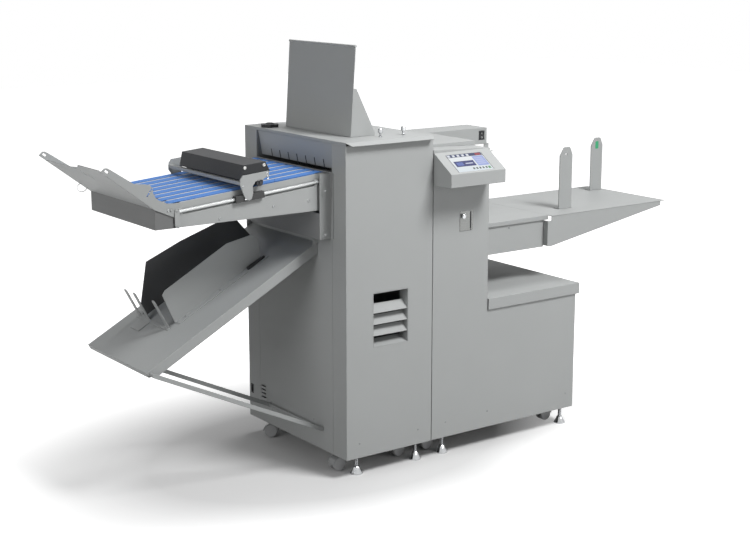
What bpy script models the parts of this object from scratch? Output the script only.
"""Scoring, perforating and folding machine: main cabinet, belt delivery, drop tray and pile feeder.

Sizes are in metres. X runs to the feeder, Y to the rear and Z up. While the pieces are built, zero
is the corner of the main cabinet's front and left faces, on the floor. The last step moves the whole
machine so that zero lies under the middle of its bounding box.
"""

import math

import bmesh
import bpy
from mathutils import Matrix, Vector

# Sheet metal, fits and rounding
SHEET = 0.002
PLATE = 0.004
FIT = 0.0003
SEAM = 0.001
OVERRUN = 0.002
BITE = 0.0005
ROUND_SIDES = 20
SMALL_SIDES = 12
ARC_STEPS = 4

# Main cabinet
CABINET_WIDTH = 0.357
CABINET_DEPTH = 0.626
COVER_BOTTOM = 0.069
LID_TOP = 1.141
LID_DROP = 0.010
COVER_RETURN = 0.079
WORK_WIDTH = 0.460
COVER_TOP = LID_TOP - LID_DROP - FIT
MID_Y = CABINET_DEPTH / 2
NEAR_WALL = MID_Y - WORK_WIDTH / 2
FAR_WALL = MID_Y + WORK_WIDTH / 2

# Welded frames
FRAME_GAP = 0.001
POST = 0.025
PAN_WALL = 0.003
PAN_HEIGHT = 0.040
RAIL_Z = 0.600
RAIL_HEIGHT = 0.040
TOP_RAIL_HEIGHT = 0.022
TOP_RAIL_INSET = 0.016
FRAME_BOTTOM = COVER_BOTTOM + FRAME_GAP
INFEED_Z = 1.020

# Levelling feet
FOOT_RADIUS = 0.022
FOOT_HEIGHT = 0.027
FOOT_STEM = 0.006
FOOT_INSET_Y = 0.040
FOOT_NEAR_X = 0.067
FOOT_FAR_INSET = 0.039
FEEDER_FOOT_NEAR = 0.077
FEEDER_FOOT_FAR_INSET = 0.026
FOOT_PROFILE_SHARES = ((1.0, 0.0), (1.0, 0.12), (0.92, 0.22), (0.62, 0.62), (0.5, 0.9), (0.4, 1.0))

# Castors
WHEEL_RADIUS = 0.024
WHEEL_LIFT = 0.002
WHEEL_WIDTH = 0.013
WHEEL_HUB = 0.009
WHEEL_CHAMFER = 0.002
WHEEL_SIDES = 16
CASTOR_TRAIL = 0.021
CASTOR_WEB = 0.008
CASTOR_CLEARANCE = 0.0015
CASTOR_HOOD = 0.002
CASTOR_AXLE = 0.003
CASTOR_STEM = 0.008
CASTOR_DISC = 0.017
CASTOR_DISC_THICKNESS = 0.003
CASTOR_INSET_Y = 0.102
CASTOR_NEAR_X = 0.052
CASTOR_FAR_INSET = 0.052
FEEDER_CASTOR_NEAR = 0.070
FEEDER_CASTOR_FAR_INSET = 0.032
CASTOR_TURNS = (0.0, 40.0, 0.0, -30.0)

# Louvre in the front cover
LOUVRE_X = 0.108
LOUVRE_Z = 0.444
LOUVRE_WIDTH = 0.147
LOUVRE_HEIGHT = 0.188
LOUVRE_DEPTH = 0.045
SLAT_COUNT = 3
SLAT_PITCH = 0.039
SLAT_RISE = 0.028
SLAT_RUN = 0.025
SLAT_SETBACK = 0.003
FIRST_SLAT_DROP = 0.071
SILL_RISE = 0.020

# Left panel, its vents and the power inlet
VENT_COUNT = 4
VENT_LENGTH = 0.030
VENT_HEIGHT = 0.005
VENT_PITCH = 0.014
VENT_Z = 0.158
VENT_MARGIN = 0.004
EXIT_Z = 0.815
EXIT_HEIGHT = 0.085
EXIT_WIDTH = 0.426
INLET_MARGIN = 0.012
INLET_WIDTH = 0.016
INLET_HEIGHT = 0.034
INLET_Z = 0.158
INLET_STEP = 0.0015
INLET_CAVITY = 0.008
INLET_WALL = 0.003
INLET_BACK = 0.012

# Delivery window, its guard and the hood below it
WINDOW_Z = 1.037
GUARD_SETBACK = 0.004
GUARD_LEAN = 0.016
GUARD_CLEARANCE = 0.005
SLIT_WIDTH = 0.004
SLIT_HEIGHT = 0.022
HOOD_REACH = 0.046
HOOD_BOTTOM = 0.817
HOOD_TOP = 1.035
HOOD_PANEL_TOP = 0.905
HOOD_FLANGE = 0.013

# Lid, the sheet stop plate on it and its knobs
LID_LIP_RUN = 0.021
LID_LIP_INSET = 0.014
HINGE_RADIUS = 0.005
HINGE_LENGTH = 0.030
HINGE_LEAF = 0.036
HINGE_INSET = 0.060
STOP_X = 0.097
STOP_NEAR = 0.110
STOP_WIDTH = 0.398
STOP_HEIGHT = 0.297
STOP_LEAN = 0.020
STOP_ROLL = 0.004
STOP_FOOT = 0.022
GUSSET_RUN = 0.098
GUSSET_RISE = 0.159
LID_KNOB_X = 0.038
LID_KNOB_Y = 0.520
LID_KNOB_RADIUS = 0.030
LID_KNOB_LOBE = 0.0035
LID_KNOB_LOBES = 6
LID_KNOB_HEIGHT = 0.011
LID_KNOB_BOSS = 0.004
THUMB_RADIUS = 0.008
THUMB_HEIGHT = 0.028
THUMB_PLACES = ((0.186, 0.066), (0.282, 0.068))
THUMB_PROFILE_SHARES = ((0.75, 0.0), (0.75, 0.1), (0.45, 0.18), (0.45, 0.42), (1.0, 0.5), (1.0, 0.92), (0.85, 1.0))

# Fold and crease unit inside the cabinet
FOLD_RADIUS = 0.022
FOLD_X = 0.180
JOURNAL_RADIUS = 0.008
JOURNAL_OVERHANG = 0.006
ROLLER_END_GAP = 0.003
BLADE_X = 0.100
BLADE_THICKNESS = 0.006
BLADE_HEIGHT = 0.040
BLADE_LIFT = 0.008
BLADE_TRAVEL = 0.006
TENON_HEIGHT = 0.020
TENON_OVERHANG = 0.003

# Belt conveyor, tilted down to the left
BELT_SLOPE = math.radians(5.0)
BELT_X = -0.008
BELT_Z = 1.040
BELT_RUN = 0.584
BELT_COUNT = 8
BELT_PITCH = 0.054
BELT_WIDTH = 0.038
BELT_THICKNESS = 0.0015
BELT_ROLLER = 0.016
BELT_JOURNAL = 0.006
BELT_ARC_STEPS = 8
BED_DROP = 0.012
BED_MARGIN = 0.026
CONVEYOR_BOTTOM = 0.914
CONVEYOR_NEAR = 0.093
LEDGE_DEPTH = 0.007
LEDGE_GAP = 0.005
WEB_TOP_DROP = 0.0025
CONVEYOR_LIP = 0.014
TAB_WIDTH = 0.016
CROSS_BAR = 0.022
CROSS_BAR_SHARES = (0.2, 0.55, 0.9)
ROD_RADIUS = 0.006
ROD_DROP = 0.028
ROD_Y = 0.092
ROD_START = 0.041
ROD_END_MARGIN = 0.030
ROD_CLAMP = 0.014
CAP_X = -0.640
CAP_RETURN = 0.078
CAP_HEIGHT = 0.066
CAP_SIDE_GAP = 0.001

# Press-roller bridge; its outlines lie along and square to the belts
BRIDGE_START = 0.232
BRIDGE_LENGTH = 0.107
ARM_FRONT = 0.076
ARM_THICKNESS = 0.0045
ARM_TOP = 0.0445
ARM_FOOT = 0.037
ARM_SHARES = (
    (0.0, 1.0), (0.0, 0.56), (0.14, 0.56), (0.22, 0.42), (0.34, 0.5), (0.48, 0.42),
    (0.58, 0.15), (0.6, -0.5), (0.66, -0.92), (0.74, -1.0), (0.84, -0.92), (0.9, -0.5),
    (1.0, 0.4), (0.98, 0.75), (0.88, 1.0),
)
BLOCK_START = 0.252
BLOCK_LENGTH = 0.104
BLOCK_HEIGHT = 0.021
BLOCK_WIDTH = 0.018
TIE_BOTTOM = 0.016
TIE_TOP = 0.026
TIE_DEPTH = 0.014
FLANGE_WIDTH = 0.035
FLANGE_CHAMFER = 0.018
BRIDGE_COVER_LENGTH = 0.401
BRIDGE_COVER_TOP = 0.076
BRIDGE_COVER_BOTTOM = 0.030
BRIDGE_COVER_SHARES = ((0.0, 0.0), (-0.06, 0.35), (0.06, 1.0), (0.8, 1.0), (0.93, 0.0))
BRIDGE_COVER_WALL = 0.003
PRESS_RADIUS = 0.012
PRESS_JOURNAL = 0.004
PRESS_SHARE = 0.3

# Catch tray on the end of the conveyor
WING_SLOPE = math.radians(37.08)
WING_X = -0.641
WING_Z = 0.977
WING_LENGTH = 0.216
WING_HEIGHT = 0.054
WING_SHARES = (
    (0.0, 0.0), (1.0, 0.0), (0.985, 0.3), (0.95, 0.4), (0.905, 0.43), (0.485, 0.54), (0.4, 0.72),
    (0.335, 0.89), (0.263, 1.0), (0.2, 0.93), (0.168, 0.77), (0.1, 0.62), (0.046, 0.58),
    (-0.115, 0.72), (-0.2, 0.95), (-0.28, 0.95), (-0.34, 0.6), (-0.33, 0.3),
)
WING_PIVOT_SHARES = (-0.217, 0.54)
WING_SLOT_SHARES = ((0.9, 0.16), (0.96, 0.16), (0.96, 0.28), (0.9, 0.28))
WING_HOLE_SHARES = ((0.21, 0.42), (0.21, 0.56), (0.21, 0.7), (0.21, 0.84))
WING_HOLE_RADIUS = 0.003
WING_GAP = 0.001
PLATE_NOTCH_Y = 0.232
PLATE_NOTCH_RUN = 0.070
PLATE_LENGTH = 0.224
PLATE_NOTCH_LENGTH = 0.187
PLATE_HOLES = ((0.168, 0.290), (0.150, 0.262))
PLATE_HOLE_LENGTH = 0.030
PLATE_HOLE_WIDTH = 0.012
PIVOT_PIN = 0.004

# Drop tray under the conveyor
DROP_SLOPE = math.radians(28.0)
DROP_Z = 0.792
DROP_GAP = 0.0025
DROP_LENGTH = 0.733
DROP_NEAR = 0.165
DROP_WIDTH = 0.425
DROP_FLANGE = 0.034
DROP_END_FLANGE = 0.018
DROP_PIVOT_X = -0.010
DROP_PIVOT_Z = 0.798
DROP_PIN = 0.004
DROP_EAR = 0.009
LUG_THICKNESS = 0.004
LUG_GAP = 0.0015
GUIDE_REAR_Y = 0.501
GUIDE_FRONT_Y = 0.321
GUIDE_FOOT = 0.024
GUIDE_START = 0.060
GUIDE_REACH = 0.478
GUIDE_HEIGHT = 0.159
GUIDE_REAR_SHARES = ((0.0, 0.0), (0.05, 0.62), (0.1, 0.78), (0.16, 0.75), (0.5, 0.92), (0.8, 1.0), (0.98, 0.3), (1.0, 0.0))
FRONT_GUIDE_START = 0.120
FRONT_GUIDE_REACH = 0.398
FRONT_GUIDE_HEIGHT = 0.121
GUIDE_FRONT_SHARES = ((0.05, 0.0), (0.0, 0.55), (0.03, 0.76), (0.27, 1.0), (0.94, 0.97), (0.98, 0.9), (1.0, 0.0))
LEVER_S = 0.201
LEVER_LENGTH = 0.090
LEVER_WIDTH = 0.016
LEVER_THICKNESS = 0.006
LEVER_HEAD_SHARE = 0.24
LEVER_TIP_SHARE = 0.4
LEVER_SCREW = 0.005
STOP_BAR_S = 0.542
STOP_BAR_WIDTH = 0.014
STOP_BAR_NEAR = 0.312
STOP_BAR_LENGTH = 0.226
FINGER_YS = (0.326, 0.462, 0.526)
FINGER_WIDTH = 0.022
FINGER_LENGTH = 0.113
STOP_TAB_NEAR = 0.438
STOP_TAB_WIDTH = 0.064
STOP_TAB_LENGTH = 0.062

# Strut under the drop tray
STRUT_S = 0.722
STRUT_DROP = 0.012
STRUT_NEAR = 0.138
STRUT_WIDTH = 0.342
STRUT_BAR = 0.014
STRUT_THICKNESS = 0.008
STRUT_ROD = 0.005
STRUT_FOOT_Z = 0.146
STRUT_EAR = 0.011

# Pile feeder
MODULE_GAP = 0.003
FEEDER_WIDTH = 0.672
TOWER_WIDTH = 0.245
TOWER_TOP = 1.090
TOWER_TOP_FALL = 0.010
SHELF_TOP = 0.545
SHELF_FLANGE = 0.040
SHELF_GAP = 0.002
SHELF_OVERHANG_X = 0.013
SHELF_OVERHANG_Y = 0.006
FEEDER_X = CABINET_WIDTH + MODULE_GAP
FEEDER_RIGHT = FEEDER_X + FEEDER_WIDTH
TOWER_RIGHT = FEEDER_X + TOWER_WIDTH
HEAD_TOP = 1.096
HEAD_NEAR = 0.085
HEAD_DEPTH = 0.280
BOX_BOTTOM = 1.031
BOX_HEIGHT = 0.061
BOX_NEAR = 0.380
BOX_DEPTH = 0.120
BOX_RIGHT = 0.912
BOX_TAB_WIDTH = 0.023
BOX_TAB_DROP = 0.034
BOX_PIN_LENGTH = 0.022
BOX_PIN_RADIUS = 0.002
SLOT_HEIGHT = 0.120
SLOT_Z = 0.880
SLOT_MARGIN = 0.095
DRUM_X = 0.548
DRUM_Z = 0.955
DRUM_RADIUS = 0.042
DRUM_LENGTH = 0.300
DRUM_PLATE_WIDTH = 0.080
DOCK_RADIUS = 0.010
DOCK_INSET = 0.200
MAST_WIDTH = 0.030
MAST_DEPTH = 0.012
MAST_INSET = 0.190
MAST_TOP = 0.985

# Rocker switch on the control box
ROCKER_X = 0.873
ROCKER_WIDTH = 0.027
ROCKER_HEIGHT = 0.031
ROCKER_Z = 1.064
ROCKER_PROUD = 0.002
ROCKER_DEPTH = 0.010
ROCKER_DISH = 0.003
ROCKER_CLEARANCE = 0.002
ROCKER_WELL = 0.020

# Console and touch screen
CONSOLE_WIDTH = 0.236
CONSOLE_REACH = 0.095
CONSOLE_BOTTOM = 0.970
CONSOLE_FRONT_RISE = 0.003
CONSOLE_FRONT_TOP = 1.018
CONSOLE_TOP = 1.080
SCREEN_WIDTH = 0.154
SCREEN_HEIGHT = 0.088
SCREEN_MARGIN_X = 0.037
SCREEN_MARGIN_TOP = 0.017
SCREEN_THICKNESS = 0.004

# Latch on the tower front
LATCH_X = 0.475
LATCH_Z = 0.801
LATCH_WIDTH = 0.057
LATCH_HEIGHT = 0.069
LATCH_THICKNESS = 0.002
LATCH_SLOT = 0.005
LATCH_SLOT_MARGIN = 0.008
LATCH_KNOB_X = 0.486
LATCH_KNOB_Z = 0.853
LATCH_KNOB_RADIUS = 0.008
LATCH_KNOB_LENGTH = 0.011
LATCH_PROFILE_SHARES = ((0.6, 0.0), (0.6, 0.35), (1.0, 0.45), (1.0, 0.9), (0.8, 1.0))

# Feed table, its extension and side guides
TABLE_TOP = 0.786
TABLE_NEAR = 0.116
TABLE_RIGHT = 0.992
TABLE_LIP = 0.016
TABLE_START_GAP = 0.004
CARRIAGE_DEPTH = 0.118
CARRIAGE_INSET = 0.006
CARRIAGE_RIGHT = 0.975
EXTENSION_RIGHT = 1.594
EXTENSION_NEAR = 0.098
EXTENSION_SIDE_RIGHT = 1.570
EXTENSION_SIDE_DEPTH = 0.113
EXTENSION_TIP_DEPTH = 0.018
SIDE_GUIDE_WIDTH = 0.064
SIDE_GUIDE_HEIGHT = 0.234
SIDE_GUIDE_THICKNESS = 0.003
SIDE_GUIDE_FOOT = 0.028
SIDE_GUIDE_CHAMFER = 0.020
SIDE_GUIDE_HOLE = 0.004
SIDE_GUIDE_HOLE_DROP = 0.026
NEAR_GUIDE_X = 1.110
NEAR_GUIDE_Y = 0.186
FAR_GUIDE_X = 1.515
FAR_GUIDE_Y = 0.436
FAR_GUIDE_DROP = 0.019

# Colour, roughness and metallic value of each finish
FINISHES = {
    "panel_grey": ((0.40, 0.41, 0.41), 0.45, 0.0),
    "tray_grey": ((0.36, 0.37, 0.37), 0.45, 0.0),
    "dark_paint": ((0.045, 0.048, 0.050), 0.50, 0.0),
    "black_plastic": ((0.015, 0.015, 0.016), 0.45, 0.0),
    "belt_blue": ((0.05, 0.17, 0.62), 0.55, 0.0),
    "frame_steel": ((0.25, 0.26, 0.27), 0.50, 0.6),
    "bright_steel": ((0.65, 0.66, 0.67), 0.20, 1.0),
    "roller_rubber": ((0.06, 0.06, 0.065), 0.70, 0.0),
    "castor_grey": ((0.22, 0.23, 0.24), 0.40, 0.0),
    "screen_glass": ((0.10, 0.16, 0.30), 0.10, 0.0),
}

places = {}


def clear_scene():
    """Remove whatever the open file holds."""
    for old in list(bpy.data.objects):
        bpy.data.objects.remove(old)


# Meshes


def solid(bm):
    """Turn a bmesh into an object with its faces pointing out."""
    bmesh.ops.recalc_face_normals(bm, faces=bm.faces)
    mesh = bpy.data.meshes.new("shape")
    bm.to_mesh(mesh)
    bm.free()
    shape = bpy.data.objects.new("shape", mesh)
    bpy.context.scene.collection.objects.link(shape)
    return shape


def prism(outline, axis, low, high):
    """Extrude an outline along an axis. It is (y, z) along X, (x, z) along Y and (x, y) along Z."""
    bm = bmesh.new()
    order = {"X": (2, 0, 1), "Y": (0, 2, 1), "Z": (0, 1, 2)}[axis]
    corners = []
    for a, b in outline:
        point = (a, b, low)
        corners.append(bm.verts.new([point[i] for i in order]))
    face = bm.faces.new(corners)
    grown = bmesh.ops.extrude_face_region(bm, geom=[face])
    step = [(0, 0, high - low)[i] for i in order]
    moved = [item for item in grown["geom"] if isinstance(item, bmesh.types.BMVert)]
    bmesh.ops.translate(bm, vec=step, verts=moved)
    return solid(bm)


def box(low, high):
    """Make a block between two corners."""
    outline = [(low[0], low[1]), (high[0], low[1]), (high[0], high[1]), (low[0], high[1])]
    return prism(outline, "Z", low[2], high[2])


def turned(profile, place, axis, sides=ROUND_SIDES):
    """Spin a profile of (radius, height) pairs, from bottom to top, round an axis through a place."""
    bm = bmesh.new()
    rings = []
    for radius, height in profile:
        ring = []
        for k in range(sides):
            angle = 2 * math.pi * k / sides
            ring.append(bm.verts.new((radius * math.cos(angle), radius * math.sin(angle), height)))
        rings.append(ring)
    for lower, upper in zip(rings, rings[1:]):
        for k in range(sides):
            j = (k + 1) % sides
            bm.faces.new((lower[k], lower[j], upper[j], upper[k]))
    bm.faces.new(rings[0])
    bm.faces.new(rings[-1])
    turn = Vector((0, 0, 1)).rotation_difference(Vector(axis)).to_matrix().to_4x4()
    bmesh.ops.transform(bm, matrix=Matrix.Translation(place) @ turn, verts=bm.verts)
    return solid(bm)


def rod(place, axis, radius, low, high, sides=ROUND_SIDES):
    """Make a round bar along an axis, from low to high past its place."""
    return turned([(radius, low), (radius, high)], place, axis, sides)


def bore(radius, sides=ROUND_SIDES):
    """Radius of a faceted hole whose flats clear a shaft of this radius."""
    return (radius + FIT) / math.cos(math.pi / sides)


def combine(base, tools, operation):
    """Join tools to a base, or cut them from it, and keep the result as one mesh."""
    for tool in tools:
        step = base.modifiers.new("step", "BOOLEAN")
        step.operation = operation
        step.solver = "EXACT"
        step.object = tool
    graph = bpy.context.evaluated_depsgraph_get()
    mesh = bpy.data.meshes.new_from_object(base.evaluated_get(graph))
    base.modifiers.clear()
    base.data = mesh
    for tool in tools:
        bpy.data.objects.remove(tool)
    return base


def join(base, *tools):
    """Fuse tools to a base."""
    return combine(base, tools, "UNION")


def cut(base, *tools):
    """Cut tools from a base."""
    return combine(base, tools, "DIFFERENCE")


# Outlines


def folded(path, thickness):
    """Outline of a sheet of this thickness on the left of a folded path."""
    inner = []
    for i, point in enumerate(path):
        here = Vector(point)
        before = (here - Vector(path[i - 1])).normalized() if i > 0 else None
        after = (Vector(path[i + 1]) - here).normalized() if i < len(path) - 1 else None
        first = before or after
        second = after or before
        normal = Vector((-first.y - second.y, first.x + second.x)).normalized()
        reach = thickness / normal.dot(Vector((-first.y, first.x)))
        inner.append(tuple(here + normal * reach))
    return list(path) + inner[::-1]


def scaled(shares, start, length, height):
    """Points at shares of a length and a height, from a start along the length."""
    return [(start + length * a, height * b) for a, b in shares]


def rounded(outline, corners):
    """Round the corners of an outline that are listed with their radii."""
    points = []
    for i, point in enumerate(outline):
        radius = corners.get(i)
        here = Vector(point)
        if radius is None:
            points.append(point)
            continue
        back = (Vector(outline[i - 1]) - here).normalized()
        ahead = (Vector(outline[(i + 1) % len(outline)]) - here).normalized()
        half = back.angle(ahead) / 2
        centre = here + (back + ahead).normalized() * (radius / math.sin(half))
        start = here + back * (radius / math.tan(half)) - centre
        end = here + ahead * (radius / math.tan(half)) - centre
        sweep = start.angle_signed(end)
        for k in range(ARC_STEPS + 1):
            turn = Matrix.Rotation(-sweep * k / ARC_STEPS, 2)
            points.append(tuple(centre + turn @ start))
    return points


def strip(start, end, width, steps=ARC_STEPS):
    """Outline of a bar with round ends between two points."""
    start = Vector(start)
    end = Vector(end)
    heading = math.atan2(end.y - start.y, end.x - start.x)
    points = []
    for centre, turn in ((end, heading - math.pi / 2), (start, heading + math.pi / 2)):
        for k in range(2 * steps + 1):
            angle = turn + math.pi * k / (2 * steps)
            points.append((centre.x + width / 2 * math.cos(angle), centre.y + width / 2 * math.sin(angle)))
    return points


def tilted(points, start, slope):
    """Move points of (distance down a slope, height off it) to (x, z). The slope falls to the left."""
    along = Vector((-math.cos(slope), -math.sin(slope)))
    up = Vector((-math.sin(slope), math.cos(slope)))
    return [tuple(Vector(start) + along * s + up * h) for s, h in points]


def on_belt(points):
    """Points along and square to the belts, as (x, z)."""
    return tilted(points, (BELT_X, BELT_Z), BELT_SLOPE)


def rectangle(low, high):
    """Corners of a rectangle between two points."""
    return [(low[0], low[1]), (high[0], low[1]), (high[0], high[1]), (low[0], high[1])]


# Bodies and finishes


def body(name, place, parent=None):
    """Add an empty on the axis of a joint. What moves with the joint is parented to it."""
    empty = bpy.data.objects.new(name + "_body", None)
    bpy.context.scene.collection.objects.link(empty)
    empty.empty_display_size = POST
    places[empty.name] = Vector(place)
    empty.location = Vector(place)
    if parent:
        empty.parent = parent
        empty.location = Vector(place) - places[parent.name]
    return empty


def finish(name):
    """Return the material of this name, made the first time it is asked for."""
    material = bpy.data.materials.get(name)
    if material:
        return material
    colour, roughness, metallic = FINISHES[name]
    material = bpy.data.materials.new(name)
    material.use_nodes = True
    shader = material.node_tree.nodes["Principled BSDF"]
    shader.inputs["Base Color"].default_value = (*colour, 1.0)
    shader.inputs["Roughness"].default_value = roughness
    shader.inputs["Metallic"].default_value = metallic
    material.diffuse_color = (*colour, 1.0)
    return material


def place_piece(name, shape, material, owner):
    """Name a shape, give it its own material and hang it on its body."""
    shape.name = name
    shape.data.name = name
    own = finish(material).copy()
    own.name = name + "_finish"
    shape.data.materials.clear()
    shape.data.materials.append(own)
    shape.data.transform(Matrix.Translation(-places[owner.name]))
    shape.data.set_sharp_from_angle(angle=math.radians(30))
    shape.data.shade_smooth()
    shape.data.set_sharp_from_angle(angle=math.radians(30))
    shape.parent = owner
    return shape


# Main cabinet


def foot(x, y):
    """Levelling foot: a bell on the floor and a stem up into the frame."""
    profile = scaled_profile(FOOT_PROFILE_SHARES, FOOT_RADIUS, FOOT_HEIGHT)
    profile += [(FOOT_STEM, FOOT_HEIGHT), (FOOT_STEM, FRAME_BOTTOM + PAN_WALL)]
    return turned(profile, (x, y, 0), (0, 0, 1), SMALL_SIDES)


def scaled_profile(shares, radius, height):
    """Turned profile from shares of a radius and a height."""
    return [(radius * a, height * b) for a, b in shares]


def base_pan(left, right):
    """Open tray at the foot of a frame."""
    near = SHEET + FIT
    far = CABINET_DEPTH - SHEET - FIT
    pan = box((left, near, FRAME_BOTTOM), (right, far, FRAME_BOTTOM + PAN_HEIGHT))
    well = box(
        (left + PAN_WALL, near + PAN_WALL, FRAME_BOTTOM + PAN_WALL),
        (right - PAN_WALL, far - PAN_WALL, FRAME_BOTTOM + PAN_HEIGHT + OVERRUN),
    )
    return cut(pan, well)


def post(x, y, top):
    """Upright of a frame, standing in its pan."""
    return box((x, y, FRAME_BOTTOM + BITE), (x + POST, y + POST, top))


def bearing_plate(low, high, near, holes):
    """Side plate with a bore for each roller journal."""
    plate = box((low[0], near, low[1]), (high[0], near + PLATE, high[1]))
    drills = [rod((x, near, z), (0, 1, 0), bore(radius), -OVERRUN, PLATE + OVERRUN) for x, z, radius in holes]
    return cut(plate, *drills)


def fold_heights():
    """Heights of the upper and lower fold roller, each side of the sheet's path."""
    reach = FOLD_RADIUS + FIT / 2
    return BELT_Z + reach, BELT_Z - reach


def main_chassis(machine):
    left = SHEET + FIT
    right = CABINET_WIDTH - SHEET - FIT
    near = SHEET + FIT
    far = CABINET_DEPTH - SHEET - FIT
    top = COVER_TOP - FRAME_GAP - SHEET
    rail_top = RAIL_Z + RAIL_HEIGHT
    upper, lower = fold_heights()
    frame = base_pan(left, right)
    posts = [post(x, y, top) for x in (left, right - POST) for y in (near, far - POST)]
    rails = [
        box((left, near + BITE, RAIL_Z), (left + POST, far - BITE, rail_top)),
        box((right - POST, near + BITE, RAIL_Z), (right, far - BITE, rail_top)),
        box((TOP_RAIL_INSET, near + BITE, top - TOP_RAIL_HEIGHT), (TOP_RAIL_INSET + POST, far - BITE, top)),
        box((right - POST, near + BITE, top - TOP_RAIL_HEIGHT), (right, far - BITE, top)),
    ]
    holes = [(FOLD_X, upper, JOURNAL_RADIUS), (FOLD_X, lower, JOURNAL_RADIUS)]
    plates = []
    for start in (NEAR_WALL - PLATE, FAR_WALL):
        plate = bearing_plate((left + BITE, rail_top - BITE), (right - BITE, top - BITE), start, holes)
        slot = box(
            (BLADE_X - FIT, start - OVERRUN, tenon_bottom() - BLADE_TRAVEL - FIT),
            (BLADE_X + BLADE_THICKNESS + FIT, start + PLATE + OVERRUN, tenon_bottom() + TENON_HEIGHT + FIT),
        )
        plates.append(cut(plate, slot))
    wall = box((right - SHEET, near + BITE, FRAME_BOTTOM + BITE), (right, far - BITE, INFEED_Z))
    feet = [
        foot(x, y)
        for x in (FOOT_NEAR_X, CABINET_WIDTH - FOOT_FAR_INSET)
        for y in (FOOT_INSET_Y, CABINET_DEPTH - FOOT_INSET_Y)
    ]
    frame = join(frame, *posts, *rails, *plates, wall, *feet)
    inlet_far = CABINET_DEPTH - INLET_MARGIN
    notch = box(
        (left - OVERRUN, inlet_far - INLET_WIDTH - FIT, INLET_Z - FIT),
        (INLET_BACK + FIT, CABINET_DEPTH, INLET_Z + INLET_HEIGHT + FIT),
    )
    frame = cut(frame, notch)
    place_piece("main_chassis", frame, "frame_steel", machine)


def wrap_cover(side):
    """Front or rear cover in plan: a face with a return down each side."""
    outer = [(0, COVER_RETURN), (0, 0), (CABINET_WIDTH, 0), (CABINET_WIDTH, COVER_RETURN)]
    outline = folded(outer, SHEET)
    if side == "rear":
        outline = [(x, CABINET_DEPTH - y) for x, y in outline]
    return prism(outline, "Z", COVER_BOTTOM, COVER_TOP)


def front_cover(machine):
    cover = wrap_cover("front")
    hole = box(
        (LOUVRE_X, -OVERRUN, LOUVRE_Z),
        (LOUVRE_X + LOUVRE_WIDTH, SHEET + OVERRUN, LOUVRE_Z + LOUVRE_HEIGHT),
    )
    place_piece("front_cover", cut(cover, hole), "panel_grey", machine)


def louvre_insert(machine):
    """Frame of the louvre with its sloping slats, open at the back."""
    left = LOUVRE_X + FIT
    right = LOUVRE_X + LOUVRE_WIDTH - FIT
    low = LOUVRE_Z + FIT
    high = LOUVRE_Z + LOUVRE_HEIGHT - FIT
    frame = box((left, 0, low), (right, LOUVRE_DEPTH, high))
    well = box(
        (left + SHEET, -OVERRUN, low + SHEET),
        (right - SHEET, LOUVRE_DEPTH + OVERRUN, high - SHEET),
    )
    frame = cut(frame, well)
    slats = []
    for k in range(SLAT_COUNT):
        z = LOUVRE_Z + LOUVRE_HEIGHT - FIRST_SLAT_DROP - k * SLAT_PITCH
        path = [(SLAT_SETBACK, z), (SLAT_SETBACK + SLAT_RUN, z + SLAT_RISE)]
        slats.append(prism(folded(path, SHEET), "X", left + SHEET - BITE, right - SHEET + BITE))
    sill = [(BITE, low + BITE), (LOUVRE_DEPTH - BITE, low + BITE), (LOUVRE_DEPTH - BITE, low + SILL_RISE)]
    slats.append(prism(sill, "X", left + SHEET - BITE, right - SHEET + BITE))
    place_piece("louvre_insert", join(frame, *slats), "panel_grey", machine)


def power_inlet():
    """Socket in the rear cover's left return: a rim with a hollow, and a box behind it."""
    far = CABINET_DEPTH - INLET_MARGIN
    near = far - INLET_WIDTH
    low = INLET_Z
    high = INLET_Z + INLET_HEIGHT
    block = box((-INLET_STEP, near, low), (SHEET + BITE, far, high))
    well = box(
        (-INLET_STEP - OVERRUN, near + INLET_WALL, low + INLET_WALL),
        (INLET_CAVITY, far - INLET_WALL, high - INLET_WALL),
    )
    back = box((SHEET - BITE, near, low), (INLET_BACK, far, high))
    return block, back, well


def hinge_axis():
    """Place of the lid's hinge line, as (y, z)."""
    return CABINET_DEPTH + HINGE_RADIUS + SEAM, LID_TOP - LID_DROP / 2


def hinge_starts():
    """Where each lid hinge begins along X."""
    return HINGE_INSET, CABINET_WIDTH - HINGE_INSET - HINGE_LENGTH


def knuckle(low, high, leaf):
    """One barrel of a lid hinge with its leaf, an outline as (y, z), on a rear face."""
    y, z = hinge_axis()
    barrel = rod((low, y, z), (1, 0, 0), HINGE_RADIUS, 0, high - low, SMALL_SIDES)
    return join(barrel, prism(leaf, "X", low, high))


def rear_cover(machine):
    cover = wrap_cover("rear")
    block, back, well = power_inlet()
    y, z = hinge_axis()
    face = CABINET_DEPTH
    bottom = z - HINGE_LEAF
    shoulder = z - HINGE_RADIUS / 2
    leaf = [(face - BITE, bottom), (y, bottom), (y, shoulder), (face + SEAM, shoulder), (face + SEAM, COVER_TOP), (face - BITE, COVER_TOP)]
    knuckles = []
    third = HINGE_LENGTH / 3
    for start in hinge_starts():
        for low in (start, start + 2 * third):
            knuckles.append(knuckle(low, low + third - FIT, leaf))
    cover = join(cover, block, back, *knuckles)
    cover = cut(cover, well)
    lug = tray_lug(DROP_NEAR + DROP_WIDTH + LUG_GAP, 1)
    place_piece("rear_cover", join(cover, lug), "panel_grey", machine)


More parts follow.
